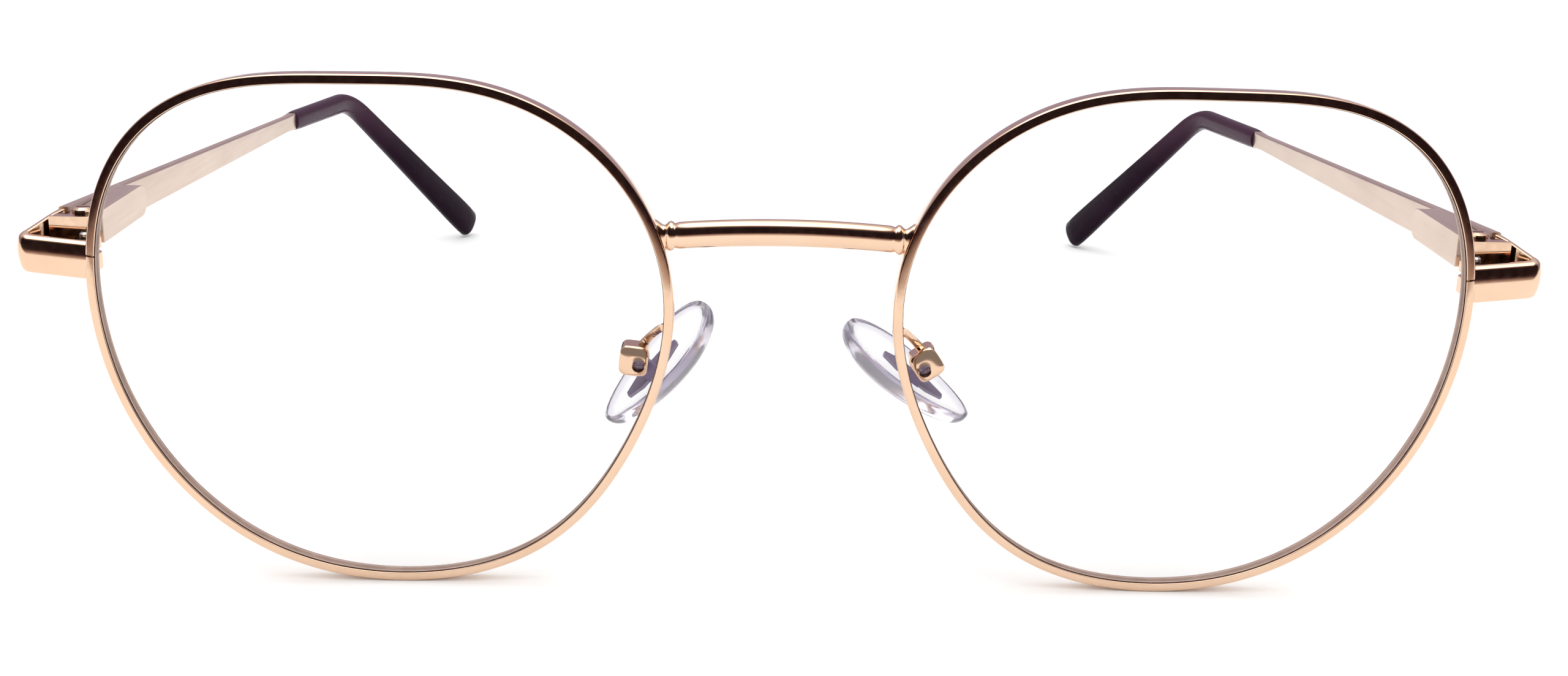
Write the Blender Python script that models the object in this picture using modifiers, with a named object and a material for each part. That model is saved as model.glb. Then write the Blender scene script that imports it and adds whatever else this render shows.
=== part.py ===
"""Metal eyeglasses with clear lenses, spring hinges, dark temple tips and silicone nose pads.

Run it in Blender 4.5: blender --background --python part.py
Metres, +Z up. The front of the glasses faces -Y, so the wearer's left is +X. The glasses stand
with the temples open, on the lower edges of the rims and the ends of the temple tips, at Z = 0.
Sizes below are in millimetres. The plans and heights of the pieces count X from the middle of
the bridge, Y from the front of the lenses' middles and Z from the lenses' height.
"""

import math

import bmesh
import bpy
import numpy as np
from mathutils import Matrix, Vector

MM = 0.001
# Corners of an outline closer than this, in millimetres, are one corner
WELD = 0.002
TURNED_STEPS = 18
COLLECTION = "eyeglasses"
SIDES = {"left": 1, "right": -1}

# Where the lens centres are: half the distance between them, and their height above the table
LENS_X = 36.35
LENS_HEIGHT = 23.85
FRONT_TO_MIDDLE = 69.9

# Eye shape: radius at equal angles, from the temple side round over the top
EYE_RADII = (
    25.5, 27.4, 27.7, 25.0, 23.4, 24.5, 25.9, 26.5,
    25.8, 24.6, 24.5, 24.1, 23.4, 23.4, 23.6, 24.2,
)
BASE_CURVE = 113.0
RIM_STEPS = 60
RIM_THICKNESS = 0.88
RIM_DEPTH = 1.78
RIM_EDGE = 0.14
GROOVE_WIDTH = 0.9
GROOVE_DEPTH = 0.38
SPLIT_ANGLE = 15.0
SPLIT_GAP = 0.16

LENS_THICKNESS = 1.5
LENS_SEAT = 0.06
BEVEL_HALF = 0.32
BEVEL_CLEAR = 0.08

# Room left for the braze between two pieces that are joined
BRAZE_GAP = 0.14

BRIDGE_HALF_HEIGHT = 1.22
BRIDGE_HALF_DEPTH = 1.0
BRIDGE_END_HEIGHT = 9.5
BRIDGE_RISE = 0.85
BRIDGE_BOW = 1.3

# Endpiece: outline of its outer face in plan, with one rounded corner, and its upper and lower edges
ENDPIECE_START = (62.92, 2.35)
ENDPIECE_CORNER = (70.05, 2.95)
ENDPIECE_BUTT = (67.2, 7.6)
ENDPIECE_BUTT_WIDTH = 1.2
ENDPIECE_RADIUS = 1.3
ENDPIECE_THICKNESS = 1.1
ENDPIECE_TOPS = (8.15, 8.55, 8.8, 10.0)
ENDPIECE_BOTTOMS = (4.65, 5.1, 5.35, 6.1)
EDGE = 0.15

# Rim lock
LOCK_SCREW = (63.15, 4.65)
LOCK_SCREW_RADIUS = 0.36
LOCK_HEAD_RADIUS = 0.62
LOCK_OUTLINE = ((62.0, 4.16), (62.78, 4.16), (62.78, 3.8), (64.1, 3.8), (64.1, 5.35), (62.0, 5.35))
LOCK_BLOCKS = {"upper": (7.0, 8.2), "lower": (5.1, 6.8)}

# Hinge: vertical pin at the endpiece's butt, inside the temple
PIN = (64.35, 7.6)
PIN_RADIUS = 0.7
PIN_HEAD_RADIUS = 0.95
PIN_CLEAR = 0.06
LEAF_RADIUS = 1.15
HINGE_BOTTOM = 6.3
HINGE_TOP = 9.8
KNUCKLE_BOTTOM = 7.43
KNUCKLE_TOP = 8.67
KNUCKLE_RADIUS = 1.1
LEAF_CLEAR = 0.1
SLOT_START = 6.35

TENON_HALF = 0.62
TENON_END = 10.9
ROD_RADIUS = 0.36
ROD_END = 17.7
WIRE_RADIUS = 0.14
SPRING_RADIUS = 0.7
SPRING_TURNS = 5
SPRING_STEPS = 10
SPRING_SPAN = (11.4, 16.4)
STOP_SPAN = (16.7, 17.5)
STOP_RADIUS = 0.8

HOUSING_INNER = 63.1
HOUSING_OUTER = 65.58
HOUSING_SPAN = (9.05, 21.6)
HOUSING_BOTTOM = 6.5
HOUSING_TOP = 9.6
HOUSING_WALL_END = 11.1
CAVITY_END = 18.9
CAVITY_HALF = 0.95

# Temple: middle line, and the blade's height at its two ends. The blade starts behind the
# endpiece's butt by the room it needs to swing outward
BLADE_START = (66.2, 7.98, 8.2)
BLADE_END = (65.8, 89.9, 3.55)
EAR_BEND = (63.05, 112.2, 2.7)
TIP_END = (50.0, 139.6, -22.2)
EAR_RADIUS = 11.0
BLADE_THICKNESS = 1.05
BLADE_HEIGHTS = (3.95, 2.0)
CORE_HALF = 0.55
CORE_END = 0.85
SLEEVE_BORE = 0.68
# Share of the length, half width and half height
SLEEVE_SECTIONS = ((0.0, 1.05, 1.2), (0.35, 1.1, 1.35), (0.6, 1.15, 1.75), (0.92, 1.15, 2.3))

# Nose pads: the pivot screw, how far each pad leans from upright, and how far it faces backward
PAD_PIVOT = (13.4, 7.2, -3.6)
PAD_LEAN = {"left": 53.0, "right": 40.0}
PAD_SPLAY = {"left": 13.0, "right": 20.0}
# From the screw to the insert, and from the insert's middle to the pad's, towards its upper end
PAD_REACH = 1.8
PAD_SHIFT = 0.75
PAD_CENTRE_Y = 8.3
PAD_STEPS = 28
PAD_HALF_LENGTH = 7.4
PAD_HALF_WIDTH = 3.85
PAD_TAPER = 0.2
PAD_FACE = -0.7
PAD_SKIN = 1.6
INSERT_HALF_LENGTH = 3.5
INSERT_HALF_WIDTH = 1.05
INSERT_HALF_THICKNESS = 0.4
POCKET_CLEAR = 0.06
LUG_RADIUS = 0.75
LUG_HALF = 0.4
LUG_END = PAD_REACH + 0.35
# The box cup that holds the lug, the wire that carries it, and the pivot screw
CUP_CENTRE = {"left": (13.6, 7.15, -3.1), "right": (13.85, 7.15, -3.2)}
CUP_HALF = (1.35, 1.05, 1.42)
CUP_TURN = {"left": 34.0, "right": 6.0}
CUP_SLOT_HALF = 0.48
CUP_SLOT_CLEAR = 0.15
CUP_CORNER = 0.62
ARM_RADIUS = 0.4
ARM_ROUTE = ((10.9, 3.95, 0.7), (10.95, 4.5, 0.68), (11.6, 5.6, 0.0), (12.5, 6.7, -1.1), (13.3, 7.15, -2.1))
PAD_SCREW_RADIUS = 0.32
PAD_SCREW_BACK = -1.1
PAD_HEAD_RADIUS = 0.58
PAD_HEAD_SEAT = 0.8

COLOURS = {
    "gold": ((0.86, 0.66, 0.50), 0.12, 1.0),
    "satin_gold": ((0.84, 0.72, 0.58), 0.3, 1.0),
    "steel": ((0.55, 0.54, 0.53), 0.25, 1.0),
    "dark_plastic": ((0.035, 0.015, 0.03), 0.15, 0.0),
    "insert_plastic": ((0.36, 0.31, 0.42), 0.3, 0.0),
    "silicone": ((0.86, 0.86, 0.9), 0.1, 0.0),
    "lens": ((0.95, 0.97, 0.97), 0.02, 0.0),
}


# ---------------------------------------------------------------- basics

def clear_scene():
    for obj in list(bpy.data.objects):
        bpy.data.objects.remove(obj, do_unlink=True)


def new_collection(name):
    collection = bpy.data.collections.new(name)
    bpy.context.scene.collection.children.link(collection)
    return collection


def make_material(name):
    colour, roughness, metallic = COLOURS[name]
    material = bpy.data.materials.new(name)
    material.use_nodes = True
    shader = material.node_tree.nodes["Principled BSDF"]
    shader.inputs["Base Color"].default_value = (*colour, 1.0)
    shader.inputs["Roughness"].default_value = roughness
    shader.inputs["Metallic"].default_value = metallic
    material.diffuse_color = (*colour, 1.0)
    return material


def world(x, y, z):
    """The place in metres of a point given in millimetres from the lenses' line."""
    return Vector((x, y - FRONT_TO_MIDDLE, z + LENS_HEIGHT)) * MM


def new_empty(name, point):
    """An empty on a joint's axis, which carries the pieces that the joint moves."""
    empty = bpy.data.objects.new(name, None)
    empty.empty_display_size = 3 * MM
    empty.location = point
    PARTS.objects.link(empty)
    return empty


def mesh_object(name, bm, collection):
    bmesh.ops.recalc_face_normals(bm, faces=bm.faces)
    mesh = bpy.data.meshes.new(name)
    bm.to_mesh(mesh)
    bm.free()
    obj = bpy.data.objects.new(name, mesh)
    collection.objects.link(obj)
    return obj


def finish(obj, material, carrier=None, smooth_angle=35):
    """Gives a piece its material and shading, and parents it to the empty of its joint."""
    obj.data.materials.clear()
    obj.data.materials.append(MATERIALS[material])
    obj.data.shade_smooth()
    obj.data.set_sharp_from_angle(angle=math.radians(smooth_angle))
    if carrier:
        obj.data.transform(Matrix.Translation(-carrier.location))
        obj.parent = carrier
    return obj


def boolean(obj, tool, operation):
    """Applies one exact Boolean at once and removes the tool."""
    modifier = obj.modifiers.new("cut", "BOOLEAN")
    modifier.object = tool
    modifier.operation = operation
    evaluated = obj.evaluated_get(bpy.context.evaluated_depsgraph_get())
    mesh = bpy.data.meshes.new_from_object(evaluated)
    obj.modifiers.clear()
    obj.data = mesh
    bpy.data.objects.remove(tool, do_unlink=True)
    return obj


def bevelled(obj, width, segments=2, angle=40):
    modifier = obj.modifiers.new("edges", "BEVEL")
    modifier.width = width * MM
    modifier.segments = segments
    modifier.limit_method = "ANGLE"
    modifier.angle_limit = math.radians(angle)
    evaluated = obj.evaluated_get(bpy.context.evaluated_depsgraph_get())
    mesh = bpy.data.meshes.new_from_object(evaluated)
    obj.modifiers.clear()
    obj.data = mesh
    return obj


# ---------------------------------------------------------------- shapes

def loft(name, rings):
    """A closed skin over rings of points, each with the same number of points, with flat ends."""
    bm = bmesh.new()
    rows = [[bm.verts.new(point) for point in ring] for ring in rings]
    count = len(rows[0])
    for row, following in zip(rows, rows[1:]):
        for i in range(count):
            j = (i + 1) % count
            bm.faces.new((row[i], row[j], following[j], following[i]))
    bm.faces.new(rows[0])
    bm.faces.new(rows[-1])
    return mesh_object(name, bm, PARTS)


def plate(name, outlines, low, high, frame):
    """Flat outlines, the first one outside and the others holes, extruded between two heights.

    frame places the outline's plane: its columns are the two flat directions and the normal."""
    curve = bpy.data.curves.new(name, "CURVE")
    curve.dimensions = "2D"
    curve.fill_mode = "BOTH"
    curve.extrude = (high - low) / 2
    for outline in outlines:
        spline = curve.splines.new("POLY")
        spline.points.add(len(outline) - 1)
        for point, (u, v) in zip(spline.points, outline):
            point.co = (u, v, 0, 1)
        spline.use_cyclic_u = True
    flat = bpy.data.objects.new(name + "_outline", curve)
    PARTS.objects.link(flat)
    evaluated = flat.evaluated_get(bpy.context.evaluated_depsgraph_get())
    bm = bmesh.new()
    bm.from_mesh(bpy.data.meshes.new_from_object(evaluated))
    bpy.data.objects.remove(flat, do_unlink=True)
    bmesh.ops.remove_doubles(bm, verts=bm.verts, dist=WELD)
    bmesh.ops.translate(bm, verts=bm.verts, vec=(0, 0, (high + low) / 2))
    bmesh.ops.transform(bm, verts=bm.verts, matrix=frame @ Matrix.Scale(MM, 4))
    return mesh_object(name, bm, PARTS)


def in_plan(side):
    """The frame of an outline drawn in plan, seen from above."""
    return Matrix.Translation(world(0, 0, 0)) @ Matrix.Diagonal((side, 1, 1, 1))


def in_side_view(side):
    """The frame of an outline drawn from the side as (y, z), which extrudes along x."""
    turn = Matrix(((0, 0, side, 0), (1, 0, 0, 0), (0, 1, 0, 0), (0, 0, 0, 1)))
    return Matrix.Translation(world(0, 0, 0)) @ turn


def block(name, low, high, side):
    """A box between two corners."""
    outline = ((low[0], low[1]), (high[0], low[1]), (high[0], high[1]), (low[0], high[1]))
    return plate(name, [outline], low[2], high[2], in_plan(side))


def circle(centre, radius, steps=24, start=0.0):
    turns = [start + 2 * math.pi * i / steps for i in range(steps)]
    return [(centre[0] + radius * math.cos(t), centre[1] + radius * math.sin(t)) for t in turns]


def arc(centre, radius, start, end, steps):
    """Points of an arc between two angles in degrees."""
    angles = [math.radians(start + (end - start) * i / steps) for i in range(steps + 1)]
    return [(centre[0] + radius * math.cos(t), centre[1] + radius * math.sin(t)) for t in angles]


def rounded_section(half_u, half_v, radius, steps=2):
    """A rectangle with round corners, as a ring of (u, v) offsets."""
    corners = ((1, 1, 0), (-1, 1, 90), (-1, -1, 180), (1, -1, 270))
    ring = []
    for sign_u, sign_v, start in corners:
        centre = (sign_u * (half_u - radius), sign_v * (half_v - radius))
        ring += arc(centre, radius, start, start + 90, steps)
    return ring


def turned(name, profile, frame):
    """A solid of revolution: (radius, height) pairs from the top to the bottom, both on the axis."""
    bm = bmesh.new()
    points = [bm.verts.new((radius * MM, 0, height * MM)) for radius, height in profile]
    for a, b in zip(points, points[1:]):
        bm.edges.new((a, b))
    mesh = bpy.data.meshes.new(name)
    bm.to_mesh(mesh)
    bm.free()
    obj = bpy.data.objects.new(name, mesh)
    PARTS.objects.link(obj)
    screw = obj.modifiers.new("turn", "SCREW")
    screw.steps = TURNED_STEPS
    screw.render_steps = TURNED_STEPS
    screw.use_merge_vertices = True
    screw.merge_threshold = 1e-6
    evaluated = obj.evaluated_get(bpy.context.evaluated_depsgraph_get())
    bm = bmesh.new()
    bm.from_mesh(bpy.data.meshes.new_from_object(evaluated))
    bpy.data.objects.remove(obj, do_unlink=True)
    bmesh.ops.transform(bm, verts=bm.verts, matrix=frame)
    return mesh_object(name, bm, PARTS)


def tube(name, points, radius, sides=2):
    """A round wire along points, with filled ends."""
    curve = bpy.data.curves.new(name, "CURVE")
    curve.dimensions = "3D"
    curve.bevel_depth = radius * MM
    curve.bevel_resolution = sides
    curve.use_fill_caps = True
    spline = curve.splines.new("POLY")
    spline.points.add(len(points) - 1)
    for point, place in zip(spline.points, points):
        point.co = (*place, 1)
    wire = bpy.data.objects.new(name + "_wire", curve)
    PARTS.objects.link(wire)
    evaluated = wire.evaluated_get(bpy.context.evaluated_depsgraph_get())
    bm = bmesh.new()
    bm.from_mesh(bpy.data.meshes.new_from_object(evaluated))
    bpy.data.objects.remove(wire, do_unlink=True)
    bmesh.ops.remove_doubles(bm, verts=bm.verts, dist=1e-6)
    return mesh_object(name, bm, PARTS)


def smooth_route(points, steps):
    """A smooth line through hand-set points (Catmull-Rom)."""
    ends = [points[0] * 2 - points[1]] + list(points) + [points[-1] * 2 - points[-2]]
    route = []
    for a, b, c, d in zip(ends, ends[1:], ends[2:], ends[3:]):
        for i in range(steps):
            t = i / steps
            second = 2 * a - 5 * b + 4 * c - d
            third = 3 * b - a - 3 * c + d
            route.append(0.5 * (2 * b + (c - a) * t + second * t**2 + third * t**3))
    return route + [points[-1]]


# ---------------------------------------------------------------- eye shape

def eye_radius(angle):
    """The eye shape's radius at an angle: the smooth closed curve through EYE_RADII."""
    spectrum = np.fft.rfft(EYE_RADII) / len(EYE_RADII)
    weights = np.full(len(spectrum), 2.0)
    weights[0] = weights[-1] = 1.0
    orders = np.arange(len(spectrum))
    return float(np.sum(weights * np.real(spectrum * np.exp(1j * orders * angle))))


def eye_point(angle):
    radius = eye_radius(angle)
    return Vector((radius * math.cos(angle), 0, radius * math.sin(angle)))


def eye_normal(angle):
    """The outward direction across the rim."""
    step = 0.01
    along = (eye_point(angle + step) - eye_point(angle - step)).normalized()
    return Vector((along.z, 0, -along.x))


def face_depth(radius):
    """How far the lens surface falls back at this distance from its centre."""
    return radius * radius / (2 * BASE_CURVE)


def around_eye(side, angle, offset, depth, scale=1.0):
    """A point beside the rim's middle line: offset outward, depth backward."""
    point = eye_point(angle)
    depth += face_depth(point.length * scale)
    point = (point + eye_normal(angle) * offset) * scale
    return world(side * (LENS_X + point.x), depth, point.z)


def build_rim(label, side):
    half = RIM_THICKNESS / 2
    deep = RIM_DEPTH / 2
    notch = GROOVE_WIDTH / 2
    section = (
        (half, RIM_EDGE - deep), (half, deep - RIM_EDGE), (half - RIM_EDGE, deep), (RIM_EDGE - half, deep),
        (-half, deep - RIM_EDGE), (-half, notch), (GROOVE_DEPTH - half, 0), (-half, -notch),
        (-half, RIM_EDGE - deep), (RIM_EDGE - half, -deep), (half - RIM_EDGE, -deep),
    )
    split = math.radians(SPLIT_ANGLE)
    gap = SPLIT_GAP / 2 / eye_radius(split)
    rings = []
    for i in range(RIM_STEPS + 1):
        angle = split + gap + (2 * math.pi - 2 * gap) * i / RIM_STEPS
        rings.append([around_eye(side, angle, offset, depth) for offset, depth in section])
    return finish(loft(f"{label}_rim", rings), "gold")


def build_lens(label, side):
    half = LENS_THICKNESS / 2
    apex = GROOVE_DEPTH - RIM_THICKNESS / 2 - BEVEL_CLEAR
    seat = -RIM_THICKNESS / 2 - LENS_SEAT
    rows = [(seat, -half, 0.35), (seat, -half, 0.7), (seat, -half, 1.0), (seat, -BEVEL_HALF, 1.0)]
    rows += [(apex, 0.0, 1.0)]
    rows += [(seat, BEVEL_HALF, 1.0), (seat, half, 1.0), (seat, half, 0.7), (seat, half, 0.35)]
    # The lens and its rim have their corners at the same angles, so the gap between them is even
    angles = [math.radians(SPLIT_ANGLE) + 2 * math.pi * i / RIM_STEPS for i in range(RIM_STEPS)]
    rings = []
    for offset, depth, scale in rows:
        rings.append([around_eye(side, angle, offset, depth, scale) for angle in angles])
    return finish(loft(f"{label}_lens", rings), "lens", smooth_angle=25)


def build_bridge():
    """The bar between the rims: it arches up and bows forward, and necks in before each foot."""
    end_angle = math.pi - math.asin(BRIDGE_END_HEIGHT / eye_radius(math.radians(158)))
    normal = eye_normal(end_angle)
    outer = LENS_X + eye_point(end_angle).x - (RIM_THICKNESS / 2 + BRAZE_GAP) / abs(normal.x)
    end_depth = face_depth(eye_point(end_angle).length)
    # (distance from the rim, half height, half depth)
    foot = ((0.0, 1.5, 0.8), (0.25, 1.28, 0.78), (0.6, 1.1, 0.8), (0.85, 1.22, 0.9), (1.5, 1.25, 0.98))
    stations = [(outer - gap, height, depth) for gap, height, depth in foot]
    stations += [(outer * s, BRIDGE_HALF_HEIGHT, BRIDGE_HALF_DEPTH) for s in (0.7, 0.5, 0.25)]
    middle = [(0.0, BRIDGE_HALF_HEIGHT, BRIDGE_HALF_DEPTH)]
    stations = stations + middle + [(-x, height, depth) for x, height, depth in reversed(stations)]
    rings = []
    for x, half_height, half_depth in stations:
        arch = 1 - (x / outer) ** 2
        centre = Vector((x, end_depth - BRIDGE_BOW * arch, BRIDGE_END_HEIGHT + BRIDGE_RISE * arch))
        section = rounded_section(half_depth, half_height, 0.75 * half_depth, 3)
        rings.append([world(x, centre.y + u, centre.z + v) for u, v in section])
    # The feet lie against the rims, which lean there
    lean = normal.z / abs(normal.x)
    for ring, sign in ((rings[0], 1), (rings[-1], -1)):
        for point in ring:
            point.x += sign * lean * (point.z - world(0, 0, BRIDGE_END_HEIGHT).z)
    return finish(loft("bridge", rings), "gold")


# ---------------------------------------------------------------- endpiece, lock and hinge

def endpiece_stations():
    """Outer and inner plan points, with the height of the upper and lower edge, along the endpiece."""
    start, corner, butt = (Vector(p) for p in (ENDPIECE_START, ENDPIECE_CORNER, ENDPIECE_BUTT))
    first = (corner - start).normalized()
    second = (butt - corner).normalized()
    turn = first.angle(second)
    tangent = ENDPIECE_RADIUS * math.tan(turn / 2)
    centre = corner - first * tangent + Vector((-first.y, first.x)) * ENDPIECE_RADIUS
    from_angle = math.degrees(math.atan2(-first.x, first.y))
    points = [start, start.lerp(corner - first * tangent, 0.5)]
    rounding = arc(centre, ENDPIECE_RADIUS, from_angle, from_angle + math.degrees(turn), 7)
    points += [Vector(p) for p in rounding]
    inwards = [Vector((-first.y, first.x))] * 2 + [(centre - Vector(p)).normalized() for p in rounding]
    points.append((corner + second * tangent).lerp(butt, 0.6))
    inwards.append(Vector((-second.y, second.x)))
    stations = [(p, p + inward * ENDPIECE_THICKNESS) for p, inward in zip(points, inwards)]
    stations.append((butt, butt - Vector((ENDPIECE_BUTT_WIDTH, 0))))
    along = [0.0]
    for (a, _), (b, _) in zip(stations, stations[1:]):
        along.append(along[-1] + (b - a).length)
    marks = (0.0, along[2], along[9], along[-1])
    tops = np.interp(along, marks, ENDPIECE_TOPS)
    bottoms = np.interp(along, marks, ENDPIECE_BOTTOMS)
    return [(outer, inner, top, bottom) for (outer, inner), top, bottom in zip(stations, tops, bottoms)]


def build_endpiece(label, side):
    rings = []
    for outer, inner, top, bottom in endpiece_stations():
        across = (inner - outer) / (inner - outer).length
        reach = (inner - outer).length
        ring = []
        for depth, height in (
            (EDGE, bottom), (reach - EDGE, bottom), (reach, bottom + EDGE), (reach, top - EDGE),
            (reach - EDGE, top), (EDGE, top), (0, top - EDGE), (0, bottom + EDGE),
        ):
            point = outer + across * depth
            ring.append(world(side * point.x, point.y, height))
        rings.append(ring)
    return finish(loft(f"{label}_endpiece", rings), "gold")


def build_lock(label, side):
    """Two blocks above and below the rim's split, and the screw that draws them together."""
    hole = circle(LOCK_SCREW, LOCK_SCREW_RADIUS + PIN_CLEAR, 18)
    for name, (low, high) in LOCK_BLOCKS.items():
        piece = plate(f"{label}_{name}_lock_block", [LOCK_OUTLINE], low, high, in_plan(side))
        bevelled(piece, 0.12, 1)
        bore = plate("bore", [hole], low - 1, high + 1, in_plan(side))
        finish(boolean(piece, bore, "DIFFERENCE"), "gold")
    bottom = LOCK_BLOCKS["lower"][0] + 0.1
    top = LOCK_BLOCKS["upper"][1] + 0.03
    shank, head = LOCK_SCREW_RADIUS, LOCK_HEAD_RADIUS
    profile = ((0, top + 0.42), (head - 0.18, top + 0.42), (head, top + 0.26), (head, top))
    profile += ((shank, top), (shank, bottom + 0.1), (shank - 0.1, bottom), (0, bottom))
    place = Matrix.Translation(world(side * LOCK_SCREW[0], LOCK_SCREW[1], 0))
    screw = turned(f"{label}_lock_screw", profile, place)
    slot(screw, side, LOCK_SCREW, head, 0.18, top + 0.22, top + 1)
    finish(screw, "steel")


def slot(screw, side, centre, radius, width, low, high):
    """Cuts the driver's slot across a screw head."""
    x, y = centre
    corner = (x - radius - 0.2, y - width / 2, low)
    opposite = (x + radius + 0.2, y + width / 2, high)
    boolean(screw, block("slot", corner, opposite, side), "DIFFERENCE")


def build_front_hinge(label, side):
    """A block with two leaves round the slider's knuckle, brazed inside the endpiece."""
    leaf = arc(PIN, LEAF_RADIUS, 0, 180, 14)
    outline = leaf + [(PIN[0] - LEAF_RADIUS, 5.45), (66.75, 5.45), (66.45, 6.0), (65.85, 7.45), (65.5, 7.5)]
    holes = [circle(PIN, PIN_RADIUS + PIN_CLEAR)]
    piece = plate(f"{label}_front_hinge", [outline] + holes, HINGE_BOTTOM, HINGE_TOP, in_plan(side))
    low = (62.0, SLOT_START, KNUCKLE_BOTTOM - LEAF_CLEAR)
    high = (67.0, 9.5, KNUCKLE_TOP + LEAF_CLEAR)
    finish(boolean(piece, block("slot", low, high, side), "DIFFERENCE"), "gold")


def build_hinge_screw(label, side):
    top = HINGE_TOP + 0.03
    bottom = HINGE_BOTTOM - 0.1
    shank, head = PIN_RADIUS, PIN_HEAD_RADIUS
    profile = ((0, top + 0.45), (head - 0.35, top + 0.43), (head, top + 0.25), (head, top))
    profile += ((shank, top), (shank, bottom + 0.12), (shank - 0.12, bottom), (0, bottom))
    place = Matrix.Translation(world(side * PIN[0], PIN[1], 0))
    screw = turned(f"{label}_hinge_screw", profile, place)
    slot(screw, side, PIN, head, 0.24, top + 0.2, top + 1)
    finish(screw, "steel")


def along_y(side, x, z):
    """The frame of a turned piece whose axis lies along Y through (x, z)."""
    return Matrix.Translation(world(side * x, 0, z)) @ Matrix.Rotation(math.radians(-90), 4, "X")


def knuckle_middle():
    return (KNUCKLE_BOTTOM + KNUCKLE_TOP) / 2


def build_slider(label, side, carrier):
    """The middle knuckle with its square tenon and the rod that carries the spring."""
    half = math.degrees(math.asin(TENON_HALF / KNUCKLE_RADIUS))
    outline = arc(PIN, KNUCKLE_RADIUS, 90 + half, 450 - half, 20)
    outline += [(PIN[0] + TENON_HALF, TENON_END), (PIN[0] - TENON_HALF, TENON_END)]
    hole = circle(PIN, PIN_RADIUS + PIN_CLEAR)
    slider = plate(f"{label}_hinge_slider", [outline, hole], KNUCKLE_BOTTOM, KNUCKLE_TOP, in_plan(side))
    root = TENON_END - 0.5
    profile = ((0, ROD_END), (ROD_RADIUS - 0.08, ROD_END), (ROD_RADIUS, ROD_END - 0.1))
    profile += ((ROD_RADIUS, root), (0, root))
    rod = turned("rod", profile, along_y(side, PIN[0], knuckle_middle()))
    finish(boolean(slider, rod, "UNION"), "steel", carrier)


def build_spring(label, side, carrier):
    """The stop ring at the rod's end, and the spring between it and the housing's wall."""
    frame = along_y(side, PIN[0], knuckle_middle())
    rings = [circle((0, 0), radius, 20) for radius in (STOP_RADIUS, ROD_RADIUS + 0.04)]
    low, high = STOP_SPAN
    finish(plate(f"{label}_spring_stop", rings, low, high, frame), "steel", carrier)
    steps = SPRING_TURNS * SPRING_STEPS
    low, high = SPRING_SPAN
    coil = []
    for i in range(steps + 1):
        angle = 2 * math.pi * i / SPRING_STEPS
        x = side * (PIN[0] + SPRING_RADIUS * math.cos(angle))
        z = knuckle_middle() + SPRING_RADIUS * math.sin(angle)
        coil.append(world(x, low + (high - low) * i / steps, z))
    finish(tube(f"{label}_hinge_spring", coil, WIRE_RADIUS, 1), "steel", carrier)


def build_housing(label, side, carrier):
    """The round-ended box on the temple's inner face, with the slider's passage and spring room."""
    low, high = HOUSING_SPAN
    half = (HOUSING_TOP - HOUSING_BOTTOM) / 2
    end = arc((high - half, HOUSING_BOTTOM + half), half, -90, 90, 10)
    outline = [(low, HOUSING_TOP), (low, HOUSING_BOTTOM)] + end
    name = f"{label}_spring_housing"
    housing = plate(name, [outline], HOUSING_INNER, HOUSING_OUTER, in_side_view(side))
    bevelled(housing, 0.22, 2)
    middle = knuckle_middle()
    room = TENON_HALF + PIN_CLEAR
    inlet = (PIN[0] - room, low - 1, middle - room)
    outlet = (PIN[0] + room, HOUSING_WALL_END + 0.2, middle + room)
    boolean(housing, block("passage", inlet, outlet, side), "DIFFERENCE")
    near = (PIN[0] - CAVITY_HALF, HOUSING_WALL_END, middle - CAVITY_HALF)
    far = (HOUSING_OUTER + 1, CAVITY_END, middle + CAVITY_HALF)
    finish(boolean(housing, block("cavity", near, far, side), "DIFFERENCE"), "satin_gold", carrier)


# ---------------------------------------------------------------- temple

def sleeve_route():
    """The middle line inside the tip: straight, round the ear bend, straight, as points and directions."""
    start, bend, end = (Vector(p) for p in (BLADE_END, EAR_BEND, TIP_END))
    first = (bend - start).normalized()
    second = (end - bend).normalized()
    turn = first.angle(second)
    tangent = EAR_RADIUS * math.tan(turn / 2)
    axis = first.cross(second).normalized()
    inward = axis.cross(first)
    centre = bend - first * tangent + inward * EAR_RADIUS
    points = [start.lerp(bend - first * tangent, t) for t in (0, 0.04, 0.4, 0.75)]
    for i in range(8):
        spin = Matrix.Rotation(turn * i / 7, 3, axis)
        points.append(centre + spin @ (-inward * EAR_RADIUS))
    points += [(bend + second * tangent).lerp(end, t) for t in (0.25, 0.5, 0.75, 0.92, 1.0)]
    directions = []
    for i, point in enumerate(points):
        before = points[max(i - 1, 0)]
        after = points[min(i + 1, len(points) - 1)]
        directions.append((after - before).normalized())
    return points, directions


def section_ring(side, centre, direction, outline):
    """A ring across the temple: u is outward, v is up."""
    outward = direction.cross(Vector((0, 0, 1))).normalized()
    upward = outward.cross(direction).normalized()
    ring = []
    for u, v in outline:
        point = centre + outward * u + upward * v
        ring.append(world(side * point.x, point.y, point.z))
    return ring


def build_temple(label, side, carrier):
    """The tapering blade, and the thin core that runs on inside the tip."""
    start, end = Vector(BLADE_START), Vector(BLADE_END)
    along = (end - start).normalized()
    face = Vector((0, 1, 0))
    rings = []
    for i in range(9):
        share = i / 8
        height = BLADE_HEIGHTS[0] + (BLADE_HEIGHTS[1] - BLADE_HEIGHTS[0]) * share
        outline = rounded_section(BLADE_THICKNESS / 2, height / 2, 0.22)
        rings.append(section_ring(side, start.lerp(end, share), face if i == 0 else along, outline))
    points, directions = sleeve_route()
    core = rounded_section(CORE_HALF, CORE_HALF, 0.3)
    last = int(CORE_END * len(points))
    for point, direction in zip(points[:last], directions[:last]):
        rings.append(section_ring(side, point + along * 0.05, direction, core))
    finish(loft(f"{label}_temple", rings), "satin_gold", carrier)


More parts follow.
